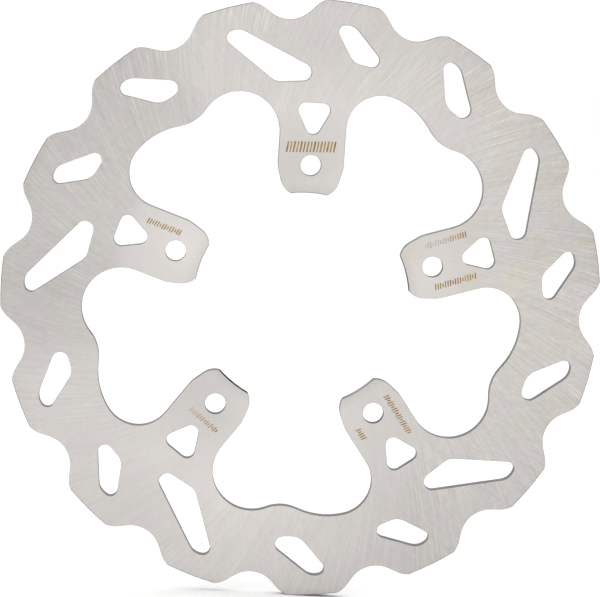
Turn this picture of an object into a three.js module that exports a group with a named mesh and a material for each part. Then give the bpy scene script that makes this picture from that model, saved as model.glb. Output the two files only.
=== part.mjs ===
// Wave brake disc of a motorcycle: one flat stainless plate, cut right through and ground on both faces.
// Units are millimetres. +Y is the wheel's axis, with the origin on it halfway through the plate.
// The outer face looks along -Y and the first bolt tab points straight up, +Z.
import * as THREE from "three";

// The plate.
const OUTER_RADIUS = 122.0;
const THICKNESS = 5.0;
const CHORD_TOLERANCE = 0.03; // how far the middle of a straight facet may lie off the true arc

// Five bolt tabs reach in to the hub, and every opening inside the rim repeats with them.
const SECTORS = 5;
const BORE_RADIUS = 43.9; // the turned tab tips centre the disc on the hub's spigot
const BOLT_CIRCLE_RADIUS = 55.0;
const BOLT_HOLE_RADIUS = 4.25; // clearance for an M8 bolt

// The rim is a wave of notches between lobes that end on the outer radius. A notch has a round root,
// straight walls that open outwards, and round shoulders that meet the lobes at a blunt corner.
const NOTCHES = 15;
const FIRST_NOTCH_ANGLE = THREE.MathUtils.degToRad(5.9); // counter-clockwise from the first tab
const NOTCH_ROOT_RADIUS = 12.2;
const NOTCH_CENTRE_RADIUS = 125.9;
const NOTCH_WALL_ANGLE = THREE.MathUtils.degToRad(39.4); // a wall's slope from the rim's tangent
const SHOULDER_RADIUS = 10.75;
const SHOULDER_CENTRE_RADIUS = 111.95;

// The openings are drawn for the sector whose tab points up: x to the right and y up, as seen on
// the outer face. A corner is [x, y, rounding radius], and corners run counter-clockwise.
const TIP_HALF_WIDTH = 7.4;
const TAB_HALF_WIDTH = 13.3;

// The left side of a tab, from its tip outwards: it flares to the full width of the bolt seat.
const TAB_LEFT_SIDE = [
  [-10.7, 44.9, 7.8],
  [-TAB_HALF_WIDTH, 54.0, 12.0],
];

// The pocket between two tabs: two broad round ends, with a hump of the ring between them.
const POCKET_NEAR_END = [
  [-TAB_HALF_WIDTH, 83.4, 16.1],
  [-38.8, 82.9, 16.1],
];
const POCKET_HUMP = [
  [-46.9, 69.4, 16.2],
  [-64.0, 64.4, 29.0],
];
const POCKET_FAR_END = [
  [-73.2, 52.7, 14.1],
];
const POCKET_LAST_CORNER = [TAB_HALF_WIDTH, 80.6, 13.8]; // drawn at the right side of the next tab

// Lightening windows in the friction ring, four to a sector.
const TAB_TRIANGLE = [
  [-8.6, 80.3, 3.1],
  [0.0, 63.9, 3.1],
  [8.6, 80.3, 3.1],
];
const LONG_WINDOW = [
  [-32.9, 108.5, 6.3],
  [-39.3, 104.3, 2.8],
  [-16.2, 87.6, 6.4],
  [-2.6, 89.1, 3.1],
  [-1.6, 94.3, 3.3],
];
const MIDDLE_WINDOW = [
  [-76.2, 85.4, 6.5],
  [-80.8, 79.1, 2.8],
  [-61.7, 75.5, 7.7],
  [-55.9, 80.2, 3.6],
  [-54.3, 85.6, 3.3],
];
const FAR_WINDOW = [
  [-102.5, 47.9, 6.2],
  [-104.6, 40.1, 2.7],
  [-88.0, 43.8, 6.4],
  [-84.1, 51.1, 2.6],
  [-85.1, 55.6, 2.8],
];
const WINDOWS = [TAB_TRIANGLE, LONG_WINDOW, MIDDLE_WINDOW, FAR_WINDOW];

const FULL_TURN = 2 * Math.PI;
const STRAIGHT_UP = Math.PI / 2; // the first tab's direction in the drawing
const SECTOR_ANGLE = FULL_TURN / SECTORS;
const NOTCH_PITCH = FULL_TURN / NOTCHES;
const AXIS = new THREE.Vector2(0, 0);

function polar(radius, angle) {
  return new THREE.Vector2(Math.cos(angle), Math.sin(angle)).multiplyScalar(radius);
}

// Points along an arc with both its ends, close enough together for the chord tolerance.
function arcPoints(centre, radius, from, to) {
  const longestStep = 2 * Math.acos(1 - CHORD_TOLERANCE / radius);
  const steps = Math.ceil(Math.abs(to - from) / longestStep);
  const points = [];
  for (let i = 0; i <= steps; i++) {
    points.push(polar(radius, from + ((to - from) * i) / steps).add(centre));
  }
  return points;
}

// Corners turned counter-clockwise about the disc's axis.
function turned(corners, angle) {
  return corners.map(([x, y, radius]) => {
    const point = new THREE.Vector2(x, y).rotateAround(AXIS, angle);
    return [point.x, point.y, radius];
  });
}

// Corners mirrored in the tab's centre line, in the order that keeps them counter-clockwise.
function mirrored(corners) {
  return corners.map(([x, y, radius]) => [-x, y, radius]).reverse();
}

// The arc that rounds one corner and touches the straight edges on both sides of it.
function roundedCorner(before, corner, after) {
  const [x, y, radius] = corner;
  const tip = new THREE.Vector2(x, y);
  if (radius === 0) return [tip];
  const toBefore = new THREE.Vector2(before[0], before[1]).sub(tip).normalize();
  const toAfter = new THREE.Vector2(after[0], after[1]).sub(tip).normalize();
  const halfAngle = Math.acos(toBefore.dot(toAfter)) / 2;
  const setback = radius / Math.tan(halfAngle);
  const bisector = toBefore.clone().add(toAfter).normalize();
  const centre = tip.clone().addScaledVector(bisector, radius / Math.sin(halfAngle));
  const from = tip.clone().addScaledVector(toBefore, setback).sub(centre).angle();
  const to = tip.clone().addScaledVector(toAfter, setback).sub(centre).angle();
  const sweep = THREE.MathUtils.euclideanModulo(to - from + Math.PI, FULL_TURN) - Math.PI;
  return arcPoints(centre, radius, from, from + sweep);
}

function roundedOutline(corners) {
  const last = corners.length - 1;
  return corners.flatMap((corner, i) =>
    roundedCorner(corners[i === 0 ? last : i - 1], corner, corners[i === last ? 0 : i + 1]),
  );
}

// The angle between sides a and b of a triangle whose third side is c.
function triangleAngle(a, b, c) {
  return Math.acos((a ** 2 + b ** 2 - c ** 2) / (2 * a * b));
}

// The wavy rim, notch by notch. Angles inside the loop are measured from the notch's middle.
function rimOutline() {
  // The centres of the shoulders that are tangent to a wall lie on a line, this far from the axis.
  const lineOffset =
    NOTCH_CENTRE_RADIUS * Math.cos(NOTCH_WALL_ANGLE) - NOTCH_ROOT_RADIUS - SHOULDER_RADIUS;
  const toShoulderCentre =
    STRAIGHT_UP - NOTCH_WALL_ANGLE - Math.asin(lineOffset / SHOULDER_CENTRE_RADIUS);
  const toLobe =
    toShoulderCentre - triangleAngle(SHOULDER_CENTRE_RADIUS, OUTER_RADIUS, SHOULDER_RADIUS);
  const shoulderStart =
    toShoulderCentre - Math.PI + triangleAngle(SHOULDER_CENTRE_RADIUS, SHOULDER_RADIUS, OUTER_RADIUS);

  const outline = [];
  for (let i = 0; i < NOTCHES; i++) {
    const middle = STRAIGHT_UP + FIRST_NOTCH_ANGLE + i * NOTCH_PITCH;
    const inward = middle + Math.PI;
    const notchCentre = polar(NOTCH_CENTRE_RADIUS, middle);
    const firstCentre = polar(SHOULDER_CENTRE_RADIUS, middle - toShoulderCentre);
    const secondCentre = polar(SHOULDER_CENTRE_RADIUS, middle + toShoulderCentre);
    const wall = NOTCH_WALL_ANGLE;
    const lobe = arcPoints(AXIS, OUTER_RADIUS, middle + toLobe, middle + NOTCH_PITCH - toLobe);
    outline.push(
      ...arcPoints(firstCentre, SHOULDER_RADIUS, middle - shoulderStart, middle + wall),
      ...arcPoints(notchCentre, NOTCH_ROOT_RADIUS, inward + wall, inward - wall),
      ...arcPoints(secondCentre, SHOULDER_RADIUS, middle - wall, middle + shoulderStart),
      ...lobe.slice(1, -1), // its ends are the shoulders' ends
    );
  }
  return outline;
}

// The hub bore and the five pockets are one opening, which runs round the tips of the tabs.
function centreOutline() {
  const tipHalfAngle = Math.asin(TIP_HALF_WIDTH / BORE_RADIUS);
  const tip = arcPoints(AXIS, BORE_RADIUS, STRAIGHT_UP - tipHalfAngle, STRAIGHT_UP + tipHalfAngle);
  const nextTabRightSide = [POCKET_LAST_CORNER, ...mirrored(TAB_LEFT_SIDE)];
  const sector = [
    ...tip.map((point) => [point.x, point.y, 0]),
    ...TAB_LEFT_SIDE,
    ...POCKET_NEAR_END,
    ...POCKET_HUMP,
    ...POCKET_FAR_END,
    ...turned(nextTabRightSide, SECTOR_ANGLE),
  ];
  const corners = [];
  for (let i = 0; i < SECTORS; i++) {
    corners.push(...turned(sector, i * SECTOR_ANGLE));
  }
  return roundedOutline(corners);
}

function boltHole(angle) {
  const circle = arcPoints(polar(BOLT_CIRCLE_RADIUS, angle), BOLT_HOLE_RADIUS, 0, FULL_TURN);
  return circle.slice(0, -1);
}

// The flat drawing of the whole disc, with every opening as a hole.
function discDrawing() {
  const drawing = new THREE.Shape(rimOutline());
  drawing.holes.push(new THREE.Path(centreOutline()));
  for (let i = 0; i < SECTORS; i++) {
    const angle = i * SECTOR_ANGLE;
    drawing.holes.push(new THREE.Path(boltHole(STRAIGHT_UP + angle)));
    for (const corners of WINDOWS) {
      drawing.holes.push(new THREE.Path(roundedOutline(turned(corners, angle))));
    }
  }
  return drawing;
}

// The drawing is extruded along its own +z, then stood up so that this direction becomes -Y.
function brakeDisc() {
  const plate = new THREE.ExtrudeGeometry(discDrawing(), { depth: THICKNESS, bevelEnabled: false });
  plate.translate(0, 0, -THICKNESS / 2);
  plate.rotateX(Math.PI / 2);
  const steel = new THREE.MeshStandardMaterial({
    name: "ground_stainless",
    color: 0xccc9c4,
    roughness: 0.38,
    metalness: 1.0,
  });
  const mesh = new THREE.Mesh(plate, steel);
  mesh.name = "brake_disc";
  return mesh;
}

const part = new THREE.Group();
part.name = "wave_brake_disc";
part.add(brakeDisc());

export default part;
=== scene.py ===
"""The visual of a motorcycle's wave brake disc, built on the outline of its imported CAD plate.

Metres, in the CAD frame: +Y is the wheel's axis, the outer face looks along -Y and +Z is up.
The disc is one plate of stainless steel: cut through, deburred, and ground on both faces.
"""

import math

import bpy
from mathutils import Matrix, Vector
from mathutils.geometry import tessellate_polygon


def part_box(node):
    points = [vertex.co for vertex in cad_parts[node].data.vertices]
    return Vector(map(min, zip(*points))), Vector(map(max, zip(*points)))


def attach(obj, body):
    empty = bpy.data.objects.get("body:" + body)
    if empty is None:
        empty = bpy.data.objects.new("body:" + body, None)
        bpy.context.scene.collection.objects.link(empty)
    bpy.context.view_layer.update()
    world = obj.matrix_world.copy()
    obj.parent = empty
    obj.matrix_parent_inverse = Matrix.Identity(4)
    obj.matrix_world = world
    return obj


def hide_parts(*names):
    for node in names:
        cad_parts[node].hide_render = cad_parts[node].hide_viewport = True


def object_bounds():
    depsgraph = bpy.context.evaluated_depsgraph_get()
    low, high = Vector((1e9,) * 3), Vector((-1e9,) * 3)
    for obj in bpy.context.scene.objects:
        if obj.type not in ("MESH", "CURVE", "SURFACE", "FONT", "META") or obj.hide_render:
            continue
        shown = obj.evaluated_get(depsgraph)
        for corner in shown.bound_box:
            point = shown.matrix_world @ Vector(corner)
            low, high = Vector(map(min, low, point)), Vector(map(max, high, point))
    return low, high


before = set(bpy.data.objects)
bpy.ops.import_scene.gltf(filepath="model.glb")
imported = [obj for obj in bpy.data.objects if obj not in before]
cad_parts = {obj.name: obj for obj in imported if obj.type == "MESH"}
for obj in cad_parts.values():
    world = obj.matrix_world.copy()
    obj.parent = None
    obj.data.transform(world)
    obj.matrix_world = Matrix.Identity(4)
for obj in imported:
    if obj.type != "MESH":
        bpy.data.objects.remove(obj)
CAD_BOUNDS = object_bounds()

MM = 0.001

# The plate, as the CAD has it.
CAD_NODE = "brake_disc"
HALF_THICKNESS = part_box(CAD_NODE)[1].y
BORE_RADIUS = 43.9 * MM
OUTER_RADIUS = 122.0 * MM
BOLT_HOLE_AREA = math.pi * (4.5 * MM) ** 2  # only the bolt holes are smaller than this
SLACK = 0.02 * MM  # how far the corners of a turned wall may lie off its radius
FIRST_TAB = math.radians(90)  # bearings run counter-clockwise from +X, as seen on the outer face
TAB_SPACING = math.radians(72)

# Every edge is deburred to a small round, and wear shows in a narrow band beside it.
EDGE_ROUND = 0.22 * MM
EDGE_STEPS = 3  # flat strips in each round
WEAR_BAND = 0.5 * MM
SHARP_CORNER = math.radians(20)  # walls that turn by more than this meet at a crisp line
NO_AREA = 1e-13  # square metres: a triangle with less than half of this is only a line

# Both faces are ground in curved lines that lean clockwise outwards, at a constant slant to the
# radius. Their relief is a sum of layers, as (slant, streaks per radian, length, detail, share).
GRIND_SLANT = math.radians(22)
GRIND_REFERENCE_RADIUS = 85.0 * MM
GRIND_LAYERS = [
    (GRIND_SLANT, 200, 22 * MM, 2.0, 0.42),  # fine lines
    (GRIND_SLANT, 100, 40 * MM, 2.0, 0.08),  # the bands that they gather in
    (GRIND_SLANT, 9, 120 * MM, 1.0, 0.07),  # the wheel's overlapping passes
    (-GRIND_SLANT / 2, 190, 10 * MM, 2.0, 0.22),  # short lines that cross the others
]
BLOTCH_SHARE = 0.20  # a small round unevenness, in the same sum
RELIEF_TONE = 0.76  # how much the relief lightens and darkens the face
RELIEF_DEPTH = 0.02 * MM

# Sparse bright scratches along the grinding, in groups. Their layer is as above, without a share.
SCRATCH_LAYER = (GRIND_SLANT, 240, 14 * MM, 0.0)
SCRATCH_TONE = 0.16  # how much lighter they are than the face

# How fine the patterns without a direction are, in features per metre.
BLOTCH_SCALE = 420.0
SCRATCH_GROUP_SCALE = 28.0
CLOUD_SCALE = 62.0
STAIN_SCALE = 95.0
NICK_SCALE = 700.0
MARK_HEAT_SCALE = 400.0
MARK_RUB_SCALE = 250.0
PAPER_SCALE = 900.0

# The camera, which looks at the outer face from slightly left of the axis and slightly above it.
CAMERA_PLACE = Vector((-54.40, -1069.30, 114.06)) * MM
CAMERA_AIM = Vector((-0.75, -2.50, 0.72)) * MM
CAMERA_ROLL = math.radians(3.87)
CAMERA_LENS = 158.6  # mm
CAMERA_SENSOR = 36.0  # mm wide

# Stainless steel's colours, linear: the faces' three, the walls' before their tone is applied,
# what a wall goes to at a grazing view, and the laser marks' two.
STEEL_ROSE = (0.555, 0.526, 0.512, 1)
STEEL_GREEN = (0.550, 0.532, 0.508, 1)
STEEL_BROWN = (0.554, 0.518, 0.455, 1)
CUT_TINT = (1.0, 0.97, 0.94)
MACHINED_TINT = (1.0, 0.98, 0.96)
TURNED_GRAZING_TINT = (1.0, 0.98, 0.95)
DRILLED_GRAZING_TINT = (0.40, 0.39, 0.38, 1)
MARK_GOLD = (0.40, 0.265, 0.095, 1)
MARK_BROWN = (0.25, 0.155, 0.065, 1)

# How light a face is by its radius: ramps as (from, to, share at the first, share at the second).
# The ring's and the rim's ramps are painted shade: they darken the face outwards, standing in for
# a dimmer reflection there.
TONE_RAMPS = [
    (80 * MM, 118 * MM, 1.02, 0.955),  # the ring
    (118 * MM, 122 * MM, 1.0, 0.96),  # the rim
    (44 * MM, 48 * MM, 0.90, 1.0),  # the tips of the tabs
]

# Painted light and shade: soft round patches where the face's colour is made a little lighter or
# darker, as (x, z, reach in mm, change), and one sector of the ring between two bearings that is
# painted darker. They stand in for the studio's reflections, which fall unevenly across the face.
PAINTED_LIGHT_PATCHES = [
    (-48, 20, 30, 0.21),
    (0, 55, 26, -0.17),
    (-30, -50, 30, -0.15),
    (50, 13, 28, 0.15),
    (0, 102, 45, -0.11),
    (-40, 92, 25, 0.05),
    (70, 72, 55, 0.07),
    (84, 10, 14, 0.07),
    (108, -15, 40, 0.05),
    (52, -84, 45, -0.09),
    (-30, -98, 42, -0.06),
    (-60, -94, 32, -0.09),
    (-104, -44, 38, 0.06),
    (-98, 0, 28, -0.08),
]
# Painted shade: the ring's colour is made darker in this sector, standing in for a dimmer
# reflection.
PAINTED_SHADE_SECTOR = (159, 38, -0.065)  # its middle and half width in degrees, and its change
SECTOR_SOFTNESS = 0.03  # how gently it ends at the sides, as a cosine
SECTOR_START = (74 * MM, 80 * MM)  # the radii between which it fades in

# How strong the grinding looks: plainest on the right of the ring, calmer in these patches as
# (x, z, reach in mm, change), and faint on the tabs.
RING_CONTRAST = 1.15
CALM_PATCHES = [
    (-64, -77, 130, -0.74),
    (-100, 18, 55, -0.26),
    (12, 98, 65, -0.57),
    (-66, 78, 40, -0.22),
    (35, -96, 40, -0.42),
]
TAB_CONTRAST = 0.32  # as a share of the ring's
TAB_TO_RING = (68 * MM, 86 * MM)  # the radii between which one turns into the other
STAIN_BEARING = math.radians(25)  # the side of the disc with the strongest brown stains

# How much the turned tips of the tabs and tops of the lobes shine, and where they are duller or
# brighter: soft round patches as (x, z, reach in mm, change).
TURNED_SHINE = 0.4
SHINE_PATCHES = [
    (-29, -33, 9, -0.30),
    (26, -35, 30, 0.60),
    (-111, 50, 25, -0.30),
    (99, 72, 25, -0.25),
]

# Laser marks on the tabs: rows of plain leaning bars. A row is centred this far out from the
# axis and to the side (counter-clockwise) of its tab's middle, and is turned from the tab's own
# direction. Lengths are in mm and angles in degrees. Fade is how worn the row is at its start.
MARK_LEAN = 0.2  # how far a bar leans for each millimetre of its height
MARK_BARS = {  # width in mm, and height as a share of the row's
    "slab": (0.75, 1.0),
    "bar": (0.55, 1.0),
    "stub": (0.55, 0.62),
}
MARK_ROWS = [
    dict(tab=0, out=62.5, side=0.4, turn=-87, height=4.4, pitch=1.36, fade=0.0,
         bars=["slab", "bar"] * 7 + ["slab"]),
    dict(tab=1, out=62.9, side=-7.4, turn=180, height=2.4, pitch=1.05, fade=0.1,
         bars=["bar", "bar", "stub"] * 4 + ["bar", "bar"]),
    dict(tab=2, out=63.2, side=0.6, turn=88, height=2.4, pitch=1.05, fade=0.7,
         bars=["bar", "stub"] * 7),
    dict(tab=3, out=60.8, side=8.2, turn=0, height=2.4, pitch=1.04, fade=0.0,
         bars=["bar", "bar", "stub"] * 6),
    dict(tab=3, out=59.7, side=-8.8, turn=1, height=2.4, pitch=1.04, fade=0.0,
         bars=["bar", "stub", "bar", "bar", "bar"]),
    dict(tab=4, out=62.7, side=9.2, turn=3, height=2.4, pitch=1.05, fade=1.0,
         bars=["stub", "bar", "bar"] * 5 + ["bar", "bar"]),
    dict(tab=4, out=62.6, side=-8.1, turn=2, height=2.4, pitch=1.05, fade=0.0,
         bars=["bar", "bar", "bar", "stub"] * 4 + ["bar"]),
]

# The studio: an even white surround over white paper, with softboxes as (name, bearing, height,
# distance, size, brightness).
WORLD_BRIGHTNESS = 1.06
SOFTBOXES = [
    ("overhead_softbox", 185.0, 72.0, 1.6, 1.6, 0.9),
    ("left_softbox", -38.0, 19.0, 2.0, 1.1, 2.7),
]
PAPER_HALF_SIDE = 12.0
PAPER_WHITE = (0.945, 0.965)  # from the darkest to the lightest of its grain

# The disc's materials, in the order that make_disc() adds them.
FACE, CUT_WALL, TURNED_WALL, DRILLED_WALL, ETCHED = range(5)


# ------------------------------------------------------------------ outlines of the CAD plate

def face_outlines(node):
    """The outer face's outlines, as closed loops of (x, z) that have the metal on their left."""
    mesh = node.data
    corners = {}
    edges = set()
    for polygon in mesh.polygons:
        points = [mesh.vertices[i].co for i in polygon.vertices]
        if any(p.y > -HALF_THICKNESS / 2 for p in points):
            continue
        keys = [(round(p.x / MM, 4), round(p.z / MM, 4)) for p in points]
        corners.update(zip(keys, ((p.x, p.z) for p in points)))
        for start, end in zip(keys, keys[1:] + keys[:1]):
            if (end, start) in edges:
                edges.remove((end, start))
            else:
                edges.add((start, end))
    following = dict(edges)
    loops = []
    while following:
        key = min(following)
        loop = []
        while key in following:
            loop.append(Vector(corners[key]))
            key = following.pop(key)
        loops.append(loop)
    return sorted(loops, key=enclosed_area, reverse=True)


def enclosed_area(loop):
    """The area inside a loop, whichever way round it runs."""
    return abs(sum(a.cross(b) for a, b in zip(loop, loop[1:] + loop[:1]))) / 2


def left_normals(loop):
    """For each side of a loop, the unit vector square to it on its left, where the metal is."""
    sides = (b - a for a, b in zip(loop, loop[1:] + loop[:1]))
    return [Vector((-side.y, side.x)).normalized() for side in sides]


# ------------------------------------------------------------------ the disc's mesh

class MeshBuilder:
    """Collects corners and faces with their own normals, materials and wall coordinates."""

    def __init__(self):
        self.points = []
        self.wear = []
        self.faces = []
        self.materials = []
        self.normals = []
        self.wall_uv = []

    def add_points(self, points, wear=0.0):
        first = len(self.points)
        self.points.extend(points)
        self.wear.extend([wear] * len(points))
        return list(range(first, len(self.points)))

    def add_face(self, corners, material, normals, wall_uv=None):
        self.faces.append(corners)
        self.materials.append(material)
        self.normals.extend(normals)
        self.wall_uv.extend(wall_uv or [(0.0, 0.0)] * len(corners))

    def build(self, name):
        mesh = bpy.data.meshes.new(name)
        mesh.from_pydata(self.points, [], self.faces)
        mesh.polygons.foreach_set("material_index", self.materials)
        mesh.polygons.foreach_set("use_smooth", [True] * len(self.faces))
        uv_layer = mesh.uv_layers.new(name="wall")
        uv_layer.data.foreach_set("uv", [number for uv in self.wall_uv for number in uv])
        wear = mesh.attributes.new("wear", "FLOAT", "POINT")
        wear.data.foreach_set("value", self.wear)
        mesh.normals_split_custom_set(self.normals)
        mesh.update()
        return bpy.data.objects.new(name, mesh)


def section_profile():
    """The plate's edge in section, from one face to the other, as (inset, y, tilt, wear).

    Inset is how far a ring of corners lies in from the wall, and tilt turns its normal from
    the outer face's at 0 to the back face's at 180 degrees.
    """
    front = [(WEAR_BAND, -HALF_THICKNESS, 0.0, 0.0)]
    for step in range(EDGE_STEPS + 1):
        tilt = math.pi / 2 * step / EDGE_STEPS
        inset = EDGE_ROUND * (1 - math.sin(tilt))
        y = EDGE_ROUND * (1 - math.cos(tilt)) - HALF_THICKNESS
        front.append((inset, y, tilt, 1.0))
    back = [(inset, -y, math.pi - tilt, wear) for inset, y, tilt, wear in reversed(front)]
    return front + back


def strip_material(wall, steps_from_wall):
    """The material of one strip of the edge, counted from the wall's own strip.

    The wear band is ground like the face, and so is the first step of the rounded edge, except
    beside a turned wall, where the whole round is turned.
    """
    ground_strips = 1 if wall == TURNED_WALL else 2
    return FACE if steps_from_wall > EDGE_STEPS + 1 - ground_strips else wall


def add_edge(builder, loop):
    """Adds the wall, the rounded edges and the wear bands along one outline.

    Returns the rings of corners where the bands end, on the outer face and on the back.
    """
    normals = left_normals(loop)
    count = len(loop)
    offsets = []  # how a corner moves when both its sides move in by one
    for i in range(count):
        middle = (normals[i - 1] + normals[i]).normalized()
        offsets.append(middle / middle.dot(normals[i]))
    profile = section_profile()
    rings = []
    for inset, y, _, wear in profile:
        inner = [point + offset * inset for point, offset in zip(loop, offsets)]
        rings.append(builder.add_points([(p.x, y, p.y) for p in inner], wear))

    along = 0.0
    wall_strip = len(rings) // 2 - 1
    for i in range(count):
        j = (i + 1) % count
        length = (loop[j] - loop[i]).length
        wall = wall_material(loop, i, j)
        starts = corner_normal(normals[i - 1], normals[i])
        ends = corner_normal(normals[j], normals[i])
        for k in range(len(rings) - 1):
            (_, y_a, tilt_a, _), (_, y_b, tilt_b, _) = profile[k], profile[k + 1]
            builder.add_face(
                [rings[k][i], rings[k + 1][i], rings[k + 1][j], rings[k][j]],
                strip_material(wall, abs(k - wall_strip)),
                [
                    tilted(starts, tilt_a),
                    tilted(starts, tilt_b),
                    tilted(ends, tilt_b),
                    tilted(ends, tilt_a),
                ],
                [(along, y_a), (along, y_b), (along + length, y_b), (along + length, y_a)],
            )
        along += length
    return rings[0], rings[-1]


def corner_normal(neighbour, own):
    """The inward direction at a corner, from the inward directions of its two sides.

    Both sides share it, but at a crisp line each side keeps its own.
    """
    if neighbour.angle(own) > SHARP_CORNER:
        return own
    return (neighbour + own).normalized()


def tilted(inward, tilt):
    """The surface normal where the section has turned by tilt from the outer face."""
    outward = -inward * math.sin(tilt)
    return (outward.x, -math.cos(tilt), outward.y)


def wall_material(loop, i, j):
    """Bolt holes are drilled, the tab tips and the lobes' tops are turned, and the rest is cut."""
    nearest, furthest = sorted((loop[i].length, loop[j].length))
    if enclosed_area(loop) < BOLT_HOLE_AREA:
        return DRILLED_WALL
    turned = furthest < BORE_RADIUS + SLACK or nearest > OUTER_RADIUS - SLACK
    return TURNED_WALL if turned else CUT_WALL


def add_cap(builder, outlines, material, y_normal):
    """Fills the flat region inside the first outline and outside the others."""
    flat = [[Vector((builder.points[i][0], builder.points[i][2], 0)) for i in o] for o in outlines]
    corners = [i for outline in outlines for i in outline]
    for triangle in tessellate_polygon(flat):
        a, b, c = (corners[i] for i in triangle)
        (ax, _, az), (bx, _, bz), (cx, _, cz) = (builder.points[i] for i in (a, b, c))
        twice_area = (bx - ax) * (cz - az) - (cx - ax) * (bz - az)
        if abs(twice_area) < NO_AREA:
            continue
        face = [a, b, c] if twice_area * y_normal < 0 else [a, c, b]
        builder.add_face(face, material, [(0.0, y_normal, 0.0)] * 3)


def make_disc():
    """The whole plate, with the etched marks let into its outer face."""
    builder = MeshBuilder()
    front = []
    back = []
    for loop in face_outlines(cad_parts[CAD_NODE]):
        front_ring, back_ring = add_edge(builder, loop)
        front.append(front_ring)
        back.append(back_ring)
    add_cap(builder, back, FACE, 1.0)
    for row in MARK_ROWS:
        front.extend(add_marks(builder, row))
    add_cap(builder, front, FACE, -1.0)
    disc = builder.build("ground_disc")
    bpy.context.scene.collection.objects.link(disc)
    for make in (ground_steel, cut_steel, turned_steel, drilled_steel, etched_steel):
        disc.data.materials.append(make())
    return disc


# ------------------------------------------------------------------ etched marks

def leaning_bar(width, height):
    """The four corners of a bar about its own middle, counter-clockwise."""
    lean = MARK_LEAN * height / 2
    return [
        (-width / 2 - lean, -height / 2),
        (width / 2 - lean, -height / 2),
        (width / 2 + lean, height / 2),
        (lean - width / 2, height / 2),
    ]


def add_marks(builder, row):
    """Lets a row of bars into the outer face. Returns the outlines that the face leaves free."""
    tab_turn = FIRST_TAB + row["tab"] * TAB_SPACING
    centre = Matrix.Rotation(tab_turn, 2) @ Vector((row["out"], row["side"]))
    row_turn = Matrix.Rotation(tab_turn + math.radians(row["turn"]), 2)
    count = len(row["bars"])
    freed = []
    for i, name in enumerate(row["bars"]):
        width, share = MARK_BARS[name]
        shift = (i - (count - 1) / 2) * row["pitch"]
        fade = row["fade"] * (1 - i / (count - 1))
        corners = leaning_bar(width, share * row["height"])
        placed = [(centre + row_turn @ Vector((x + shift, y))) * MM for x, y in corners]
        outline = builder.add_points([(p.x, -HALF_THICKNESS, p.y) for p in placed], fade)
        add_cap(builder, [outline], ETCHED, -1.0)
        freed.append(outline)
    return freed


# ------------------------------------------------------------------ materials

class Nodes:
    """Short ways to add shader nodes to a material."""

    def __init__(self, name):
        self.material = bpy.data.materials.new(name)
        self.material.use_nodes = True
        self.tree = self.material.node_tree
        self.tree.nodes.clear()

    def add(self, kind, inputs=(), **settings):
        """Adds a node. Inputs are (socket, value) pairs, and a value may be a node's output."""
        node = self.tree.nodes.new(kind)
        for name, value in settings.items():
            setattr(node, name, value)
        for socket, value in inputs:
            if isinstance(value, bpy.types.NodeSocket):
                self.tree.links.new(value, node.inputs[socket])
            else:
                node.inputs[socket].default_value = value
        return node

    def place(self):
        """The point's own place in the CAD frame."""
        return self.add("ShaderNodeTexCoord").outputs["Object"]

    def split(self, vector):
        """A vector's x, y and z."""
        return self.add("ShaderNodeSeparateXYZ", [(0, vector)]).outputs

    def wear(self):
        """The mesh's wear: 1 on a rounded edge or a rubbed mark, and 0 on an unworn surface."""
        return self.add("ShaderNodeAttribute", attribute_name="wear").outputs["Fac"]

    def math(self, operation, *values):
        return self.add("ShaderNodeMath", enumerate(values), operation=operation).outputs[0]

    def vector(self, x, y, z):
        return self.add("ShaderNodeCombineXYZ", enumerate((x, y, z))).outputs[0]

    def noise(self, vector, scale=1.0, detail=2.0):
        inputs = [("Vector", vector), ("Scale", scale), ("Detail", detail)]
        return self.add("ShaderNodeTexNoise", inputs).outputs["Fac"]

    def add_up(self, *shares):
        """The sum of several values, each times its share."""
        total = 0.0
        for value, share in shares:
            total = self.math("MULTIPLY_ADD", value, share, total)
        return total

    def remap(self, value, low, high, to_low, to_high):
        """Turns low to high into to_low to to_high, and holds the end values beyond them."""
        inputs = enumerate((value, low, high, to_low, to_high))
        return self.add("ShaderNodeMapRange", inputs).outputs[0]

    def mix(self, factor, a, b):
        inputs = [(0, factor), (6, a), (7, b)]
        return self.add("ShaderNodeMix", inputs, data_type="RGBA").outputs[2]

    def scale_colour(self, colour, factor):
        inputs = [(0, colour), (3, factor)]
        return self.add("ShaderNodeVectorMath", inputs, operation="SCALE").outputs[0]

    def bump(self, height, strength, depth):
        inputs = [("Strength", strength), ("Distance", depth), ("Height", height)]
        return self.add("ShaderNodeBump", inputs).outputs[0]

    def finish(self, inputs):
        """Makes the surface from its shader's inputs, and returns the material."""
        shader = self.add("ShaderNodeBsdfPrincipled", inputs)
        self.add("ShaderNodeOutputMaterial", [("Surface", shader.outputs[0])])
        return self.material


def polar_field(n, x, z):
    """A point's radius and its bearing, counter-clockwise from +X as seen on the outer face."""
    radius = n.math("SQRT", n.math("ADD", n.math("MULTIPLY", x, x), n.math("MULTIPLY", z, z)))
    return radius, n.math("ARCTAN2", z, x)


def grinding_line(n, radius, bearing, slant):
    """The bearing at which the grinding line through a point crosses the reference radius."""
    ratio = n.math("DIVIDE", radius, GRIND_REFERENCE_RADIUS)
    growth = n.math("MULTIPLY", n.math("LOGARITHM", ratio, math.e), math.tan(slant))
    return n.math("ADD", bearing, growth)


def streaks(n, radius, bearing, slant, density, length, detail):
    """Noise drawn out along grinding lines of this slant. Density is streaks per radian."""
    line = grinding_line(n, radius, bearing, slant)
    across_x = n.math("MULTIPLY", n.math("COSINE", line), density)
    across_y = n.math("MULTIPLY", n.math("SINE", line), density)
    along = n.math("DIVIDE", radius, length)
    return n.noise(n.vector(across_x, across_y, along), 1.0, detail)


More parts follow.
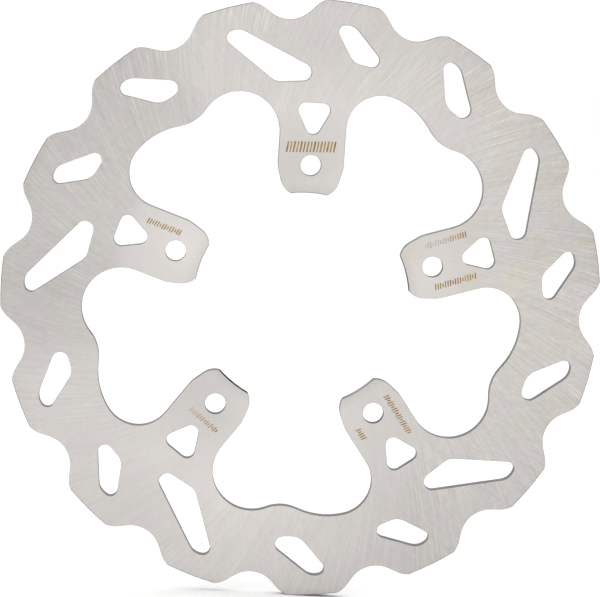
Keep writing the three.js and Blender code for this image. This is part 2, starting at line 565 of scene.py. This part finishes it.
def add_patches(n, x, z, start, patches):
    """Adds soft round patches to a value. Each one fades from its middle to nothing at its edge."""
    total = start
    for patch_x, patch_z, reach, change in patches:
        from_x = n.math("SUBTRACT", x, patch_x * MM)
        from_z = n.math("SUBTRACT", z, patch_z * MM)
        distance, _ = polar_field(n, from_x, from_z)
        total = n.math("ADD", total, n.remap(distance, 0, reach * MM, change, 0))
    return total


def broad_tone_and_painted_light(n, x, z, radius, bearing):
    """How light the face is over areas larger than the grinding's own lines, about 1."""
    # Mostly painted light and shade: the studio's uneven reflections, painted into the face's
    # colour.
    tone = 1.0
    for start, end, share_at_start, share_at_end in TONE_RAMPS:
        share = n.remap(radius, start, end, share_at_start, share_at_end)
        tone = n.math("MULTIPLY", tone, share)
    # The patches and the darker sector are painted light and shade.
    tone = add_patches(n, x, z, tone, PAINTED_LIGHT_PATCHES)
    middle, half_width, change = PAINTED_SHADE_SECTOR
    nearness = n.math("COSINE", n.math("SUBTRACT", bearing, math.radians(middle)))
    edge = math.cos(math.radians(half_width))
    sector = n.remap(nearness, edge - SECTOR_SOFTNESS, edge + SECTOR_SOFTNESS, 0.0, change)
    ring = n.remap(radius, *SECTOR_START, 0.0, 1.0)
    return n.math("MULTIPLY_ADD", sector, ring, tone)


def grinding_contrast(n, x, z, radius):
    """How strong the grinding looks at a point of the face."""
    contrast = add_patches(n, x, z, RING_CONTRAST, CALM_PATCHES)
    return n.math("MULTIPLY", contrast, n.remap(radius, *TAB_TO_RING, TAB_CONTRAST, 1.0))


def grinding_relief(n, place, radius, bearing, contrast):
    """The grinding's highs and lows, about 0."""
    layers = []
    for *layer, share in GRIND_LAYERS:
        layers.append((streaks(n, radius, bearing, *layer), share))
    layers.append((n.noise(place, BLOTCH_SCALE), BLOTCH_SHARE))
    return n.math("MULTIPLY", n.math("SUBTRACT", n.add_up(*layers), 0.5), contrast)


def bright_scratches(n, place, radius, bearing, contrast):
    """The sparse scratches that catch the light, as strong as the contrast and 0 beside them."""
    lines = n.remap(streaks(n, radius, bearing, *SCRATCH_LAYER), 0.65, 0.73, 0.0, 1.0)
    groups = n.remap(n.noise(place, SCRATCH_GROUP_SCALE, 1.0), 0.44, 0.58, 0.0, 1.0)
    return n.math("MULTIPLY", n.math("MULTIPLY", lines, groups), contrast)


def face_tint(n, place, bearing):
    """The steel's own colour, with faint rose and green-grey clouds and brown stains."""
    clouds = n.remap(n.noise(place, CLOUD_SCALE, 3.0), 0.42, 0.58, 0, 1)
    stains = n.remap(n.noise(place, STAIN_SCALE, 4.0), 0.46, 0.64, 0, 1)
    towards = n.math("COSINE", n.math("SUBTRACT", bearing, STAIN_BEARING))
    warmth = n.remap(towards, 0.45, 1.0, 0.10, 0.75)
    tint = n.mix(clouds, STEEL_ROSE, STEEL_GREEN)
    return n.mix(n.math("MULTIPLY", stains, warmth), tint, STEEL_BROWN)


def edge_nicks(n, place):
    """Small light and dark spots, which fade quickly from the rounded edges inwards."""
    nicks = n.remap(n.noise(place, NICK_SCALE), 0.35, 0.65, -0.06, 0.05)
    return n.math("MULTIPLY", n.math("POWER", n.wear(), 3.0), nicks)


def ground_steel():
    """Both faces: anisotropic along the grinding, which also shows in relief, tone and gloss."""
    n = Nodes("ground_steel")
    place = n.place()
    x, _, z = n.split(place)
    radius, bearing = polar_field(n, x, z)
    contrast = grinding_contrast(n, x, z, radius)
    relief = grinding_relief(n, place, radius, bearing, contrast)
    scratches = bright_scratches(n, place, radius, bearing, contrast)
    # The face's colour carries painted light and shade at a large scale, under the grinding's
    # relief.
    tone = n.math("MULTIPLY_ADD", relief, RELIEF_TONE, broad_tone_and_painted_light(n, x, z, radius, bearing))
    tone = n.math("ADD", tone, n.math("MULTIPLY", scratches, SCRATCH_TONE))
    tone = n.math("ADD", tone, edge_nicks(n, place))

    # The gloss spreads in the direction across the grinding lines.
    lie = n.math("SUBTRACT", bearing, GRIND_SLANT)
    across = n.vector(n.math("MULTIPLY", n.math("SINE", lie), -1.0), 0.0, n.math("COSINE", lie))
    return n.finish([
        ("Base Color", n.scale_colour(face_tint(n, place, bearing), tone)),
        ("Metallic", 1.0),
        ("Roughness", n.remap(relief, -0.18, 0.18, 0.44, 0.32)),
        ("Anisotropic", 0.8),
        ("Tangent", across),
        ("Normal", n.bump(relief, 0.3, RELIEF_DEPTH)),
    ])


def wall_noise(n, length_along, length_through):
    """Noise on a wall, by its feature sizes along the outline and through the plate."""
    wall = n.add("ShaderNodeUVMap", uv_map="wall").outputs[0]
    along, through, _ = n.split(wall)
    along = n.math("DIVIDE", along, length_along)
    through = n.math("DIVIDE", through, length_through)
    return n.noise(n.vector(along, through, 0.0))


def cut_steel():
    """The walls of the openings and the notches, with the cut's fine ridges across the plate."""
    n = Nodes("cut_steel")
    ridges = wall_noise(n, 0.35 * MM, 4.0 * MM)
    stains = wall_noise(n, 9.0 * MM, 3.0 * MM)
    tone = n.remap(n.add_up((ridges, 0.5), (stains, 0.5)), 0.35, 0.65, 0.10, 0.25)
    return n.finish([
        ("Base Color", n.scale_colour(CUT_TINT, tone)),
        ("Metallic", 1.0),
        ("Roughness", n.remap(ridges, 0.3, 0.7, 0.42, 0.6)),
        ("Normal", n.bump(ridges, 0.5, 0.04 * MM)),
    ])


def turned_steel():
    """The tips of the tabs and the tops of the lobes, with fine rings round the disc's axis."""
    n = Nodes("turned_steel")
    x, _, z = n.split(n.place())
    rings = wall_noise(n, 30 * MM, 0.2 * MM)
    shine = add_patches(n, x, z, TURNED_SHINE, SHINE_PATCHES)
    tone = n.math("MULTIPLY", shine, n.remap(rings, 0.3, 0.7, 0.12, 0.30))
    return n.finish([
        ("Base Color", n.scale_colour(MACHINED_TINT, tone)),
        ("Metallic", 1.0),
        ("Specular Tint", n.scale_colour(TURNED_GRAZING_TINT, shine)),
        ("Roughness", n.remap(shine, 0.0, TURNED_SHINE, 0.75, 0.35)),
        ("Normal", n.bump(rings, 0.4, 0.02 * MM)),
    ])


def drilled_steel():
    """The walls of the bolt holes, with the drill's fine rings round them."""
    n = Nodes("drilled_steel")
    rings = wall_noise(n, 20 * MM, 0.15 * MM)
    tone = n.remap(rings, 0.3, 0.7, 0.22, 0.34)
    return n.finish([
        ("Base Color", n.scale_colour(MACHINED_TINT, tone)),
        ("Metallic", 1.0),
        ("Specular Tint", DRILLED_GRAZING_TINT),
        ("Roughness", n.remap(rings, 0.3, 0.7, 0.25, 0.35)),
        ("Normal", n.bump(rings, 0.4, 0.02 * MM)),
    ])


def etched_steel():
    """The laser marks: gold and brown heat tints, rubbed back to steel where a mark is worn."""
    n = Nodes("etched_steel")
    place = n.place()
    heat = n.noise(place, MARK_HEAT_SCALE)
    colour = n.mix(n.remap(heat, 0.35, 0.65, 0, 1), MARK_GOLD, MARK_BROWN)
    patchy = n.remap(n.noise(place, MARK_RUB_SCALE), 0.35, 0.6, 0.55, 1.0)
    rubbed = n.math("MULTIPLY", n.wear(), patchy)
    return n.finish([
        ("Base Color", n.mix(rubbed, colour, STEEL_ROSE)),
        ("Metallic", 1.0),
        ("Roughness", n.remap(heat, 0.3, 0.7, 0.45, 0.6)),
    ])


# ------------------------------------------------------------------ studio

def add_camera():
    data = bpy.data.cameras.new("camera")
    data.lens = CAMERA_LENS
    data.sensor_fit = "HORIZONTAL"
    data.sensor_width = CAMERA_SENSOR
    data.clip_start = 0.05
    data.clip_end = 100.0
    camera = bpy.data.objects.new("camera", data)
    camera.location = CAMERA_PLACE
    aimed = (CAMERA_AIM - CAMERA_PLACE).to_track_quat("-Z", "Y").to_matrix()
    camera.rotation_euler = (aimed @ Matrix.Rotation(CAMERA_ROLL, 3, "Z")).to_euler()
    bpy.context.scene.collection.objects.link(camera)
    bpy.context.scene.camera = camera


def add_softbox(name, bearing, height, distance, size, brightness):
    """A square area light that faces the disc's centre.

    Bearing is in degrees counter-clockwise from straight ahead of the outer face as seen from
    above, height is in degrees above level, and brightness is that of the light's own face.
    """
    bearing = math.radians(bearing)
    height = math.radians(height)
    level = distance * math.cos(height)
    place = Vector((
        level * math.sin(bearing), -level * math.cos(bearing), distance * math.sin(height)
    ))
    data = bpy.data.lights.new(name, "AREA")
    data.shape = "SQUARE"
    data.size = size
    data.energy = brightness * math.pi * size * size
    light = bpy.data.objects.new(name, data)
    light.location = place
    light.rotation_euler = (-place).to_track_quat("-Z", "Y").to_euler()
    bpy.context.scene.collection.objects.link(light)


def paper():
    """White paper with a fine grain."""
    n = Nodes("floor_paper")
    grain = n.noise(n.place(), PAPER_SCALE)
    colour = n.scale_colour((1.0, 1.0, 1.0), n.remap(grain, 0.3, 0.7, *PAPER_WHITE))
    return n.finish([("Base Color", colour), ("Roughness", 0.9)])


def add_floor():
    """A wide sheet of white paper, level with the disc's lowest point."""
    side = PAPER_HALF_SIDE
    z = CAD_BOUNDS[0].z
    mesh = bpy.data.meshes.new("floor")
    corners = [(-side, -side, z), (side, -side, z), (side, side, z), (-side, side, z)]
    mesh.from_pydata(corners, [], [(0, 1, 2, 3)])
    mesh.materials.append(paper())
    floor = bpy.data.objects.new("floor", mesh)
    bpy.context.scene.collection.objects.link(floor)


def add_studio():
    world = bpy.data.worlds.new("studio")
    world.use_nodes = True
    background = world.node_tree.nodes["Background"]
    background.inputs["Color"].default_value = (1, 1, 1, 1)
    background.inputs["Strength"].default_value = WORLD_BRIGHTNESS
    bpy.context.scene.world = world
    for softbox in SOFTBOXES:
        add_softbox(*softbox)
    bpy.context.scene.view_settings.view_transform = "Standard"
    add_floor()


# ------------------------------------------------------------------ the scene

disc = make_disc()
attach(disc, "root")
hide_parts(CAD_NODE)

add_camera()
add_studio()
